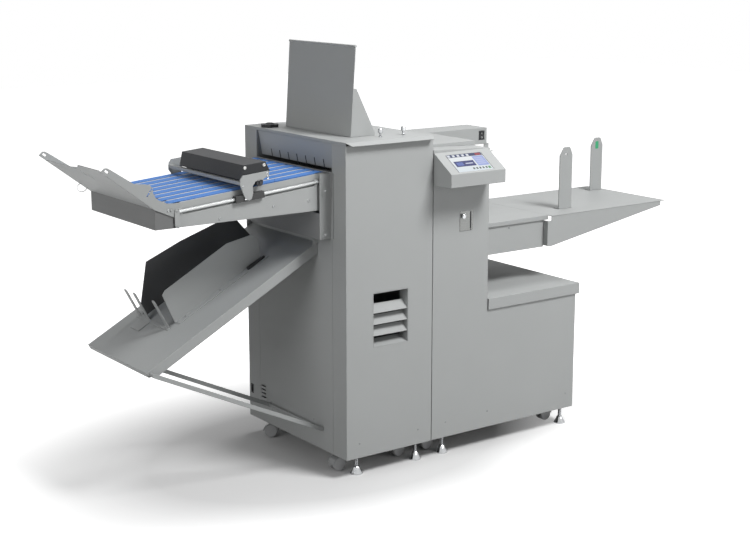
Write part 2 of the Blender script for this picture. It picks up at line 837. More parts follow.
def tray_lug(near, side):
    """Ear on the cabinet's left face with a pin for the drop tray. Side is -1 in front, 1 behind."""
    far = near + LUG_THICKNESS
    outline = strip((DROP_PIVOT_X, DROP_PIVOT_Z), (SHEET - DROP_EAR, DROP_PIVOT_Z), 2 * DROP_EAR)
    ear = prism(outline, "Y", near, far)
    trim = box((BITE, near - OVERRUN, DROP_PIVOT_Z - 2 * DROP_EAR), (POST, far + OVERRUN, DROP_PIVOT_Z + 2 * DROP_EAR))
    ear = cut(ear, trim)
    reach = LUG_GAP + SHEET + LUG_GAP
    low = near - reach if side > 0 else far - BITE
    high = near + BITE if side > 0 else far + reach
    pin = rod((DROP_PIVOT_X, low, DROP_PIVOT_Z), (0, 1, 0), DROP_PIN, 0, high - low, SMALL_SIDES)
    return join(ear, pin)


def left_panel(machine):
    """Panel between the two covers, with the lower exit, vents and the front lug of the drop tray."""
    near = COVER_RETURN + SEAM
    far = CABINET_DEPTH - COVER_RETURN - SEAM
    panel = box((0, near, COVER_BOTTOM), (SHEET, far, WINDOW_Z))
    exit_near = MID_Y - EXIT_WIDTH / 2
    cutters = [box((-OVERRUN, exit_near, EXIT_Z), (SHEET + OVERRUN, exit_near + EXIT_WIDTH, EXIT_Z + EXIT_HEIGHT))]
    for k in range(VENT_COUNT):
        z = VENT_Z + k * VENT_PITCH
        vent_far = far - VENT_MARGIN
        cutters.append(box((-OVERRUN, vent_far - VENT_LENGTH, z), (SHEET + OVERRUN, vent_far, z + VENT_HEIGHT)))
    panel = cut(panel, *cutters)
    lug = tray_lug(DROP_NEAR - LUG_GAP - LUG_THICKNESS, -1)
    place_piece("left_panel", join(panel, lug), "panel_grey", machine)


def delivery_hood(machine):
    """Dark panel below the conveyor with a cheek at each side, flanged to the cabinet."""
    face = -FIT
    path = [
        (face, NEAR_WALL - HOOD_FLANGE),
        (face, NEAR_WALL),
        (-HOOD_REACH, NEAR_WALL),
        (-HOOD_REACH, FAR_WALL),
        (face, FAR_WALL),
        (face, FAR_WALL + HOOD_FLANGE),
    ]
    outline = [
        (face, NEAR_WALL - HOOD_FLANGE),
        (face, NEAR_WALL + SHEET),
        (-HOOD_REACH + SHEET, NEAR_WALL + SHEET),
        (-HOOD_REACH + SHEET, FAR_WALL - SHEET),
        (face, FAR_WALL - SHEET),
        (face, FAR_WALL + HOOD_FLANGE),
        (face - SHEET, FAR_WALL + HOOD_FLANGE),
        (face - SHEET, FAR_WALL),
        (-HOOD_REACH, FAR_WALL),
        (-HOOD_REACH, NEAR_WALL),
        (face - SHEET, NEAR_WALL),
        (face - SHEET, NEAR_WALL - HOOD_FLANGE),
    ]
    hood = prism(outline, "Z", HOOD_BOTTOM, HOOD_TOP)
    way = box(
        (-HOOD_REACH - OVERRUN, NEAR_WALL + SHEET, HOOD_PANEL_TOP),
        (face + OVERRUN, FAR_WALL - SHEET, HOOD_TOP + OVERRUN),
    )
    place_piece("delivery_hood", cut(hood, way), "dark_paint", machine)


def slotted_guard(machine):
    """Guard in the delivery window, leaning in at the bottom, with a slit between each two belts."""
    top = COVER_TOP - FRAME_GAP
    low = BELT_Z + GUARD_CLEARANCE
    path = [
        (TOP_RAIL_INSET + POST, top),
        (GUARD_SETBACK, top),
        (GUARD_SETBACK + GUARD_LEAN, low),
        (GUARD_SETBACK + GUARD_LEAN + TOP_RAIL_INSET, low),
    ]
    guard = prism(folded(path, SHEET), "Y", NEAR_WALL + FIT, FAR_WALL - FIT)
    slits = []
    for k in range(BELT_COUNT - 1):
        y = MID_Y + (k - (BELT_COUNT - 2) / 2) * BELT_PITCH
        slits.append(box((0, y - SLIT_WIDTH / 2, low - OVERRUN), (CABINET_WIDTH / 2, y + SLIT_WIDTH / 2, low + SLIT_HEIGHT)))
    place_piece("slotted_guard", cut(guard, *slits), "panel_grey", machine)


def top_lid(lid):
    """Lid tray with a sloping front lip and a hinge barrel at each rear corner."""
    low = LID_TOP - LID_DROP
    width = CABINET_WIDTH
    depth = CABINET_DEPTH
    tray = box((0, 0, low), (width, depth, LID_TOP))
    well = box((SHEET, -OVERRUN, low - OVERRUN), (width - SHEET, depth - SHEET, LID_TOP - SHEET))
    tray = cut(tray, well)
    path = [(2 * SHEET, LID_TOP), (0, LID_TOP), (-LID_LIP_RUN, low)]
    lip = prism(folded(path, SHEET), "X", 0, width)
    bevels = []
    for x, inward in ((0, LID_LIP_INSET), (width, -LID_LIP_INSET)):
        outer = x - inward
        corner = [(x, 0), (x + inward, -LID_LIP_RUN), (x + inward, -2 * LID_LIP_RUN), (outer, -2 * LID_LIP_RUN), (outer, 0)]
        bevels.append(prism(corner, "Z", low - LID_DROP, LID_TOP + LID_DROP))
    lip = cut(lip, *bevels)
    leaf = rectangle((depth - BITE, low), (hinge_axis()[0], LID_TOP - SHEET))
    third = HINGE_LENGTH / 3
    knuckles = []
    for start in hinge_starts():
        knuckles.append(knuckle(start + third, start + 2 * third - FIT, leaf))
    place_piece("top_lid", join(tray, lip, *knuckles), "panel_grey", lid)


def fold_plate(lid):
    """Upright sheet stop plate on the lid, with a rolled top, a foot and a gusset at each end."""
    low = LID_TOP + FIT
    top = low + STOP_HEIGHT
    near = STOP_NEAR
    far = STOP_NEAR + STOP_WIDTH
    path = [(STOP_X + STOP_FOOT, low), (STOP_X, low), (STOP_X + STOP_LEAN, top)]
    path = [(x, z) for x, z in path]
    sheet = prism(folded(path[::-1], SHEET), "Y", near, far)
    roll = rod((STOP_X + STOP_LEAN + SHEET / 2, near, top), (0, 1, 0), STOP_ROLL, 0, STOP_WIDTH, SMALL_SIDES)
    lean = STOP_LEAN * GUSSET_RISE / STOP_HEIGHT
    web = [
        (STOP_X + SHEET / 2, low),
        (STOP_X + GUSSET_RUN, low),
        (STOP_X + GUSSET_RUN, low + STOP_FOOT / 2),
        (STOP_X + lean + SHEET + STOP_FOOT / 2, low + GUSSET_RISE),
        (STOP_X + lean + SHEET / 2, low + GUSSET_RISE),
    ]
    gussets = [prism(web, "Y", near, near + SHEET), prism(web, "Y", far - SHEET, far)]
    place_piece("fold_plate", join(sheet, roll, *gussets), "panel_grey", lid)


def lid_knob(knob):
    """Lobed hand knob."""
    points = []
    count = 8 * LID_KNOB_LOBES
    for k in range(count):
        angle = 2 * math.pi * k / count
        radius = LID_KNOB_RADIUS + LID_KNOB_LOBE * math.cos(LID_KNOB_LOBES * angle)
        points.append((LID_KNOB_X + radius * math.cos(angle), LID_KNOB_Y + radius * math.sin(angle)))
    low = LID_TOP + FIT
    wheel = prism(points, "Z", low, low + LID_KNOB_HEIGHT)
    centre = (LID_KNOB_X, LID_KNOB_Y, low)
    profile = [
        (LID_KNOB_RADIUS / 2, LID_KNOB_HEIGHT / 2),
        (LID_KNOB_RADIUS / 2, LID_KNOB_HEIGHT + LID_KNOB_BOSS / 2),
        (LID_KNOB_RADIUS / 3, LID_KNOB_HEIGHT + LID_KNOB_BOSS),
    ]
    place_piece("lid_knob", join(wheel, turned(profile, centre, (0, 0, 1))), "black_plastic", knob)


def thumb_knob(name, place, knob):
    profile = scaled_profile(THUMB_PROFILE_SHARES, THUMB_RADIUS, THUMB_HEIGHT)
    shape = turned(profile, (place[0], place[1], LID_TOP + FIT), (0, 0, 1), SMALL_SIDES)
    place_piece(name, shape, "bright_steel", knob)


def lid_parts(machine):
    y, z = hinge_axis()
    lid = body("lid", (0, y, z), machine)
    top_lid(lid)
    fold_plate(lid)
    lid_knob(body("lid_knob", (LID_KNOB_X, LID_KNOB_Y, LID_TOP), lid))
    for name, place in zip(("thumb_knob_left", "thumb_knob_right"), THUMB_PLACES):
        thumb_knob(name, place, body(name, (*place, LID_TOP), lid))


def journaled_roller(place, radius, near, far, journal, overhang):
    """Roller along Y with a journal at each end."""
    profile = [
        (journal, near - overhang - place[1]),
        (journal, near - place[1]),
        (radius, near - place[1]),
        (radius, far - place[1]),
        (journal, far - place[1]),
        (journal, far + overhang - place[1]),
    ]
    return turned(profile, place, (0, 1, 0))


def tenon_bottom():
    """Height of the underside of the crease blade's tenons, at rest."""
    return BELT_Z + BLADE_LIFT + (BLADE_HEIGHT - TENON_HEIGHT) / 2


def fold_unit(machine):
    """Fold rollers and crease blade between the cabinet's bearing plates."""
    near = NEAR_WALL + ROLLER_END_GAP
    far = FAR_WALL - ROLLER_END_GAP
    overhang = ROLLER_END_GAP + PLATE + JOURNAL_OVERHANG
    for name, z in zip(("fold_roller_upper", "fold_roller_lower"), fold_heights()):
        owner = body(name, (FOLD_X, MID_Y, z), machine)
        roller = journaled_roller((FOLD_X, MID_Y, z), FOLD_RADIUS, near, far, JOURNAL_RADIUS, overhang)
        place_piece(name, roller, "bright_steel", owner)
    low = BELT_Z + BLADE_LIFT
    right = BLADE_X + BLADE_THICKNESS
    edge = [(BLADE_X, low + BLADE_THICKNESS), (BLADE_X + BLADE_THICKNESS / 2, low), (right, low + BLADE_THICKNESS)]
    outline = edge + [(right, low + BLADE_HEIGHT), (BLADE_X, low + BLADE_HEIGHT)]
    blade = prism(outline, "Y", near, far)
    reach = PLATE + TENON_OVERHANG
    tenon = box(
        (BLADE_X, NEAR_WALL - reach, tenon_bottom()),
        (right, FAR_WALL + reach, tenon_bottom() + TENON_HEIGHT),
    )
    owner = body("crease_blade", (BLADE_X, MID_Y, low), machine)
    place_piece("crease_blade", join(blade, tenon), "bright_steel", owner)


# Belt conveyor


def belt_roller_places():
    """Distances along the belts of the drive and idler roller, and their depth below the belts."""
    reach = BELT_ROLLER + FIT + BELT_THICKNESS
    return reach, BELT_RUN - reach, -reach


def rod_height():
    """Height of the guide rods' axis off the belts."""
    return -ROD_DROP


def conveyor_side(side):
    """Near side frame: lower web, ledge and upper web, mirrored to the far side when side is -1."""
    near = CONVEYOR_NEAR
    inner = near + LEDGE_DEPTH
    ledge = rod_height() - ROD_RADIUS - LEDGE_GAP
    left = CAP_X + SHEET + SEAM
    right = -FIT - SHEET - SEAM
    slope = math.tan(BELT_SLOPE)

    def line(x, h):
        """Height above the floor, at x, of a line parallel to the belts."""
        return BELT_Z + h / math.cos(BELT_SLOPE) + (x - BELT_X) * slope

    lower = [(left, CONVEYOR_BOTTOM), (right, CONVEYOR_BOTTOM), (right, line(right, ledge)), (left, line(left, ledge))]
    shelf = [(left, line(left, ledge - SHEET)), (right, line(right, ledge - SHEET)), (right, line(right, ledge)), (left, line(left, ledge))]
    upper = [
        (left, line(left, ledge - SHEET)),
        (right, line(right, ledge - SHEET)),
        (right, line(right, -WEB_TOP_DROP)),
        (left, line(left, -WEB_TOP_DROP)),
    ]
    web = prism(lower, "Y", near, near + SHEET)
    step = prism(shelf, "Y", near, inner + SHEET)
    wall = prism(upper, "Y", inner, inner + SHEET)
    lip = box((left, near + BITE, CONVEYOR_BOTTOM), (right, near + CONVEYOR_LIP, CONVEYOR_BOTTOM + SHEET))
    tab = box((right - BITE, near, CONVEYOR_BOTTOM), (-FIT, near + TAB_WIDTH, HOOD_TOP - SHEET))
    frame = join(web, step, wall, lip, tab)
    drive, idler, drop = belt_roller_places()
    drills = []
    for x, z in on_belt([(drive, drop), (idler, drop)]):
        drills.append(rod((x, inner, z), (0, 1, 0), bore(BELT_JOURNAL), -OVERRUN, SHEET + OVERRUN))
    frame = cut(frame, *drills)
    clamps = []
    start, end = ROD_START, BELT_RUN - ROD_END_MARGIN
    for s in (start, end - ROD_CLAMP):
        low = rod_height() - ROD_RADIUS - LEDGE_GAP - SHEET / 2
        high = rod_height() + ROD_RADIUS + SHEET
        block = on_belt(rectangle((s, low), (s + ROD_CLAMP, high)))
        clamps.append(prism(block, "Y", ROD_Y, inner + BITE))
    pivot_x, pivot_z = wing_pivot()
    pin_start = wing_near() - SHEET
    pin = rod((pivot_x, pin_start, pivot_z), (0, 1, 0), PIVOT_PIN, 0, inner + BITE - pin_start, SMALL_SIDES)
    x, z = on_belt([(start, rod_height())])[0]
    axis = (-math.cos(BELT_SLOPE), 0, -math.sin(BELT_SLOPE))
    guide = rod((x, ROD_Y, z), axis, ROD_RADIUS, 0, end - start, SMALL_SIDES)
    frame = join(frame, guide, pin, *clamps)
    if side < 0:
        frame.data.transform(Matrix.Translation((0, 2 * MID_Y, 0)) @ Matrix.Scale(-1, 4, (0, 1, 0)))
        frame.data.flip_normals()
    return frame


def conveyor_frame(machine):
    """Both side frames with the cross bars between them."""
    near = CONVEYOR_NEAR + SHEET - BITE
    far = CABINET_DEPTH - near
    left = CAP_X + SHEET + SEAM
    bars = []
    for share in CROSS_BAR_SHARES:
        x = left * share
        bars.append(box((x - CROSS_BAR, near, CONVEYOR_BOTTOM + BITE), (x, far, CONVEYOR_BOTTOM + CROSS_BAR)))
    frame = join(conveyor_side(1), conveyor_side(-1), *bars)
    place_piece("conveyor_frame", frame, "panel_grey", machine)


def belt_bed(machine):
    """Slider bed with the eight belts that run over it and round both rollers."""
    near = CONVEYOR_NEAR + LEDGE_DEPTH + SHEET + FIT
    far = CABINET_DEPTH - near
    drive, idler, drop = belt_roller_places()
    start = drive + BED_MARGIN
    end = idler - BED_MARGIN
    top = -BELT_THICKNESS + BITE / 2
    path = [(start, top - BED_DROP), (start, top), (end, top), (end, top - BED_DROP)]
    bed = prism(on_belt(folded(path[::-1], SHEET)), "Y", near, far)
    outer = BELT_ROLLER + FIT + BELT_THICKNESS
    inner = BELT_ROLLER + FIT
    belts = []
    for k in range(BELT_COUNT):
        y = MID_Y + (k - (BELT_COUNT - 1) / 2) * BELT_PITCH - BELT_WIDTH / 2
        loop = strip((drive, drop), (idler, drop), 2 * outer, BELT_ARC_STEPS // 2)
        hollow = strip((drive, drop), (idler, drop), 2 * inner, BELT_ARC_STEPS // 2)
        belt = prism(on_belt(loop), "Y", y, y + BELT_WIDTH)
        belts.append(cut(belt, prism(on_belt(hollow), "Y", y - OVERRUN, y + BELT_WIDTH + OVERRUN)))
    place_piece("belt_bed", join(bed, *belts), "belt_blue", machine)


def belt_rollers(machine):
    """Drive and idler roller in the side frames."""
    near = CONVEYOR_NEAR + LEDGE_DEPTH + SHEET
    gap = SEAM
    drive, idler, drop = belt_roller_places()
    radius = BELT_ROLLER * math.cos(math.pi / BELT_ARC_STEPS / 2)
    for name, s in (("drive_roller", drive), ("idler_roller", idler)):
        x, z = on_belt([(s, drop)])[0]
        owner = body(name, (x, MID_Y, z), machine)
        overhang = gap + SHEET + SEAM
        roller = journaled_roller(
            (x, MID_Y, z), radius, near + gap, CABINET_DEPTH - near - gap, BELT_JOURNAL, overhang
        )
        place_piece(name, roller, "bright_steel", owner)


def conveyor_end_cap(machine):
    """End cap of the conveyor: a dark face with a return down each side."""
    near = CONVEYOR_NEAR - CAP_SIDE_GAP - SHEET
    far = CABINET_DEPTH - near
    right = CAP_X + CAP_RETURN
    path = [(right, near), (CAP_X, near), (CAP_X, far), (right, far)]
    outline = [
        (right, near),
        (CAP_X, near),
        (CAP_X, far),
        (right, far),
        (right, far - SHEET),
        (CAP_X + SHEET, far - SHEET),
        (CAP_X + SHEET, near + SHEET),
        (right, near + SHEET),
    ]
    cap = prism(outline, "Z", CONVEYOR_BOTTOM, CONVEYOR_BOTTOM + CAP_HEIGHT)
    x, z = wing_pivot()
    drill = rod((x, near, z), (0, 1, 0), bore(PIVOT_PIN, SMALL_SIDES), -OVERRUN, far - near + OVERRUN, SMALL_SIDES)
    place_piece("conveyor_end_cap", cut(cap, drill), "dark_paint", machine)


# Press-roller bridge


def bridge_frame(bridge):
    """Both arms with their slider blocks on the rods, and the tie bar between them."""
    along = [(a, b) for a, b in scaled(ARM_SHARES, BRIDGE_START, BRIDGE_LENGTH, 1)]
    arm_outline = [(s, ARM_TOP * h if h > 0 else ARM_FOOT * h) for s, h in along]
    block = rectangle((BLOCK_START, rod_height() - BLOCK_HEIGHT / 2), (BLOCK_START + BLOCK_LENGTH, rod_height() + BLOCK_HEIGHT / 2))
    start, end = ROD_START, BELT_RUN - ROD_END_MARGIN
    press_s, press_h = press_place()
    parts = []
    for side in (1, -1):
        front = ARM_FRONT
        arm = prism(on_belt(arm_outline), "Y", front, front + ARM_THICKNESS)
        slider = prism(on_belt(block), "Y", front + ARM_THICKNESS - BITE, front + ARM_THICKNESS + BLOCK_WIDTH)
        x, z = on_belt([(start, rod_height())])[0]
        axis = (-math.cos(BELT_SLOPE), 0, -math.sin(BELT_SLOPE))
        drill = rod((x, ROD_Y, z), axis, bore(ROD_RADIUS, SMALL_SIDES), 0, end - start, SMALL_SIDES)
        slider = cut(slider, drill)
        px, pz = on_belt([(press_s, press_h)])[0]
        eye = rod((px, front, pz), (0, 1, 0), bore(PRESS_JOURNAL, SMALL_SIDES), -OVERRUN, ARM_THICKNESS + OVERRUN, SMALL_SIDES)
        half = cut(join(arm, slider), eye)
        if side < 0:
            half.data.transform(Matrix.Translation((0, 2 * MID_Y, 0)) @ Matrix.Scale(-1, 4, (0, 1, 0)))
            half.data.flip_normals()
        parts.append(half)
    far = CABINET_DEPTH - ARM_FRONT
    outer = BRIDGE_START + BRIDGE_LENGTH
    tie = on_belt(rectangle((outer - TIE_DEPTH, TIE_BOTTOM), (outer - BITE, TIE_TOP)))
    bar = prism(tie, "Y", ARM_FRONT + BITE, far - BITE)
    return join(parts[0], parts[1], bar)


def press_place():
    """Place of the press roller's axis, resting just off the belts."""
    return BRIDGE_START + BRIDGE_LENGTH * PRESS_SHARE, PRESS_RADIUS + FIT


def bridge(machine):
    start = on_belt([(ROD_START, rod_height())])[0]
    carriage = body("bridge", (start[0], MID_Y, start[1]), machine)
    place_piece("bridge_frame", bridge_frame(carriage), "panel_grey", carriage)
    near = ARM_FRONT + ARM_THICKNESS + FIT
    height = BRIDGE_COVER_TOP - BRIDGE_COVER_BOTTOM
    profile = [(s, BRIDGE_COVER_BOTTOM + h) for s, h in scaled(BRIDGE_COVER_SHARES, BRIDGE_START, BRIDGE_LENGTH, height)]
    cover = prism(on_belt(profile), "Y", near, near + BRIDGE_COVER_LENGTH)
    place_piece("bridge_cover", cover, "black_plastic", carriage)
    s, h = press_place()
    x, z = on_belt([(s, h)])[0]
    owner = body("press_roller", (x, MID_Y, z), carriage)
    inner = ARM_FRONT + ARM_THICKNESS + SEAM
    roller = journaled_roller((x, MID_Y, z), PRESS_RADIUS, inner, CABINET_DEPTH - inner, PRESS_JOURNAL, ARM_THICKNESS)
    place_piece("press_roller", roller, "roller_rubber", owner)


# Catch tray


def wing_tilt():
    """Matrix that tilts the level catch tray up to the left of the conveyor's end."""
    return Matrix.Translation((WING_X, 0, WING_Z)) @ Matrix.Rotation(WING_SLOPE, 4, "Y")


def wing_near():
    """Outer face of the catch tray's near wing."""
    return CONVEYOR_NEAR - CAP_SIDE_GAP - SHEET - WING_GAP - SHEET


def wing_pivot():
    """Place of the catch tray's hinge line, as (x, z)."""
    x, z = scaled([WING_PIVOT_SHARES], 0, -WING_LENGTH, WING_HEIGHT)[0]
    pivot = wing_tilt() @ Vector((x, 0, z))
    return pivot.x, pivot.z


def catch_tray(machine):
    """Plate between two wings that pivot on the conveyor's end, made level and then tilted."""
    near = wing_near()
    far = CABINET_DEPTH - near
    length = -WING_LENGTH
    outline = scaled(WING_SHARES, 0, length, WING_HEIGHT)
    slot = scaled(WING_SLOT_SHARES, 0, length, WING_HEIGHT)
    wings = []
    for y in (near, far - SHEET):
        cutters = [prism(slot, "Y", y - OVERRUN, y + SHEET + OVERRUN)]
        for x, z in scaled(WING_HOLE_SHARES, 0, length, WING_HEIGHT):
            cutters.append(rod((x, y, z), (0, 1, 0), WING_HOLE_RADIUS, -OVERRUN, SHEET + OVERRUN, SMALL_SIDES))
        eye_x, eye_z = scaled([WING_PIVOT_SHARES], 0, length, WING_HEIGHT)[0]
        cutters.append(rod((eye_x, y, eye_z), (0, 1, 0), bore(PIVOT_PIN, SMALL_SIDES), -OVERRUN, SHEET + OVERRUN, SMALL_SIDES))
        wings.append(cut(prism(outline, "Y", y, y + SHEET), *cutters))
    edge = [
        (-SHEET, near + BITE),
        (-PLATE_LENGTH, near + BITE),
        (-PLATE_LENGTH, PLATE_NOTCH_Y),
        (-PLATE_NOTCH_LENGTH, PLATE_NOTCH_Y + PLATE_NOTCH_RUN),
        (-PLATE_NOTCH_LENGTH, far - BITE),
        (-SHEET, far - BITE),
    ]
    edge = rounded(edge, {2: PLATE_HOLE_WIDTH, 3: PLATE_HOLE_WIDTH})
    holes = []
    for w, y in PLATE_HOLES:
        hole = strip((-w - PLATE_HOLE_LENGTH / 3, y), (-w + PLATE_HOLE_LENGTH / 3, y), PLATE_HOLE_WIDTH)
        holes.append(prism(hole, "Z", -OVERRUN, SHEET + 2 * OVERRUN))
    plate = cut(prism(edge, "Z", BITE, SHEET + BITE), *holes)
    tray = join(plate, *wings)
    tray.data.transform(wing_tilt())
    pivot_x, pivot_z = wing_pivot()
    place_piece("catch_tray", tray, "tray_grey", body("catch_tray", (pivot_x, MID_Y, pivot_z), machine))


# Drop tray; its pieces are made level, with zero at the cabinet and -X down the slope, then tilted


def tray_tilt():
    """Matrix that lays a level piece on the drop tray's slope."""
    return Matrix.Translation((-DROP_GAP, 0, DROP_Z)) @ Matrix.Rotation(-DROP_SLOPE, 4, "Y")


def drop_plate(tray):
    """Tray sheet with side flanges, an end flange and the strut's lug."""
    near = DROP_NEAR
    far = DROP_NEAR + DROP_WIDTH
    pivot = tray_tilt().inverted() @ Vector((DROP_PIVOT_X, 0, DROP_PIVOT_Z))
    low = -DROP_LENGTH
    heel = -DROP_FLANGE * math.tan(DROP_SLOPE)
    side = [(0, 0), (low, 0), (low, -DROP_END_FLANGE), (low + DROP_FLANGE, -DROP_FLANGE), (heel, -DROP_FLANGE)]
    lug_y = STRUT_NEAR + STRUT_WIDTH + FIT
    half = STRUT_EAR / 2
    lug = box((-STRUT_S - half, lug_y, -STRUT_DROP - half), (-STRUT_S + half, lug_y + PLATE, -BITE))
    ear = strip((pivot.x, pivot.z), (pivot.x - DROP_EAR - SHEET, -DROP_EAR), 2 * DROP_EAR)
    walls = [join(prism(side, "Y", y, y + SHEET), prism(ear, "Y", y, y + SHEET)) for y in (near, far - SHEET)]
    sheet = box((low, near, -SHEET), (0, far, 0))
    end = box((low, near, -DROP_END_FLANGE), (low + SHEET, far, 0))
    shape = join(sheet, *walls, end, lug)
    drills = [rod((-STRUT_S, y, -STRUT_DROP), (0, 1, 0), bore(STRUT_ROD), -OVERRUN, PLATE + OVERRUN) for y in (near, lug_y)]
    for y in (near, far - SHEET):
        drills.append(
            rod((pivot.x, y, pivot.z), (0, 1, 0), bore(DROP_PIN, SMALL_SIDES), -OVERRUN, SHEET + OVERRUN, SMALL_SIDES)
        )
    shape = cut(shape, *drills)
    shape.data.transform(tray_tilt())
    place_piece("drop_tray", shape, "tray_grey", tray)


def tray_guide(name, y, foot_side, outline, finish_name, tray):
    """Upright side guide with a foot lying on the tray."""
    left = min(x for x, z in outline)
    right = max(x for x, z in outline)
    wall = prism([(x, z + FIT) for x, z in outline], "Y", y, y + SHEET)
    low = y - GUIDE_FOOT if foot_side < 0 else y + BITE
    high = y + SHEET - BITE if foot_side < 0 else y + GUIDE_FOOT
    guide = join(wall, box((left + PLATE, low, FIT), (right - PLATE, high, FIT + SHEET)))
    guide.data.transform(tray_tilt())
    owner = body(name, tray_tilt() @ Vector((right, y, 0)), tray)
    place_piece(name, guide, finish_name, owner)
    return owner


def lock_lever(guide):
    """Lever that clamps the front guide, lying on the guide's foot."""
    head = LEVER_WIDTH / 2
    tail = head * LEVER_TIP_SHARE
    chamfer = head * LEVER_TIP_SHARE
    tip = LEVER_LENGTH * (1 - LEVER_HEAD_SHARE)
    outline = [(-chamfer, -head), (head, -head), (tip, -tail), (tip, tail), (head, head), (-chamfer, head), (-head, chamfer), (-head, -chamfer)]
    blade = prism(outline, "Z", 0, LEVER_THICKNESS)
    screw = rod((0, 0, 0), (0, 0, 1), LEVER_SCREW, LEVER_THICKNESS / 2, LEVER_THICKNESS + SHEET, SMALL_SIDES)
    lever = join(blade, screw)
    centre = Matrix.Translation((-LEVER_S, GUIDE_FRONT_Y - GUIDE_FOOT / 2, FIT + SHEET + FIT))
    lever.data.transform(tray_tilt() @ centre)
    place_piece("lock_lever", lever, "black_plastic", body("lock_lever", (tray_tilt() @ centre).translation, guide))


def finger_stop(tray):
    """Sliding stop: a bar on the tray, three upright fingers and a tab."""
    right = -STOP_BAR_S
    bar = box((right - STOP_BAR_WIDTH, STOP_BAR_NEAR, FIT), (right, STOP_BAR_NEAR + STOP_BAR_LENGTH, FIT + SHEET))
    tab = box(
        (right - STOP_TAB_LENGTH, STOP_TAB_NEAR, FIT),
        (right - SHEET, STOP_TAB_NEAR + STOP_TAB_WIDTH, FIT + SHEET),
    )
    half = FINGER_WIDTH / 2
    fingers = []
    for y in FINGER_YS:
        outline = [(y - half, FIT + BITE), (y + half, FIT + BITE), (y + half, FINGER_LENGTH), (y - half, FINGER_LENGTH)]
        outline = rounded(outline, {2: half - BITE, 3: half - BITE})
        fingers.append(prism(outline, "X", right - 2 * SHEET, right - SHEET))
    stop = join(bar, tab, *fingers)
    stop.data.transform(tray_tilt())
    owner = body("finger_stop", tray_tilt() @ Vector((right, MID_Y, 0)), tray)
    place_piece("finger_stop", stop, "tray_grey", owner)


def strut(tray):
    """Frame that props the tray's low end against the cabinet."""
    x, y, z = tray_tilt() @ Vector((-STRUT_S, MID_Y, -STRUT_DROP))
    foot_x = -FIT - STRUT_BAR / 2
    outline = strip((x, z), (foot_x, STRUT_FOOT_Z), STRUT_BAR)
    near = STRUT_NEAR
    far = STRUT_NEAR + STRUT_WIDTH
    bars = [prism(outline, "Y", start, start + STRUT_THICKNESS) for start in (near, far - STRUT_THICKNESS)]
    top = rod((x, near, z), (0, 1, 0), STRUT_ROD, BITE, STRUT_WIDTH + FIT + PLATE + SEAM)
    low = rod((foot_x, near, STRUT_FOOT_Z), (0, 1, 0), STRUT_ROD, BITE, STRUT_WIDTH - BITE, SMALL_SIDES)
    place_piece("strut", join(bars[0], bars[1], top, low), "tray_grey", body("strut", (x, y, z), tray))


def drop_tray(machine):
    tray = body("drop_tray", (DROP_PIVOT_X, MID_Y, DROP_PIVOT_Z), machine)
    drop_plate(tray)
    rear = scaled(GUIDE_REAR_SHARES, -GUIDE_START, -GUIDE_REACH, GUIDE_HEIGHT)
    tray_guide("tray_guide_rear", GUIDE_REAR_Y, 1, rear, "dark_paint", tray)
    front = scaled(GUIDE_FRONT_SHARES, -FRONT_GUIDE_START, -FRONT_GUIDE_REACH, FRONT_GUIDE_HEIGHT)
    guide = tray_guide("tray_guide_front", GUIDE_FRONT_Y, -1, front, "tray_grey", tray)
    lock_lever(guide)
    finger_stop(tray)
    strut(tray)


# Pile feeder


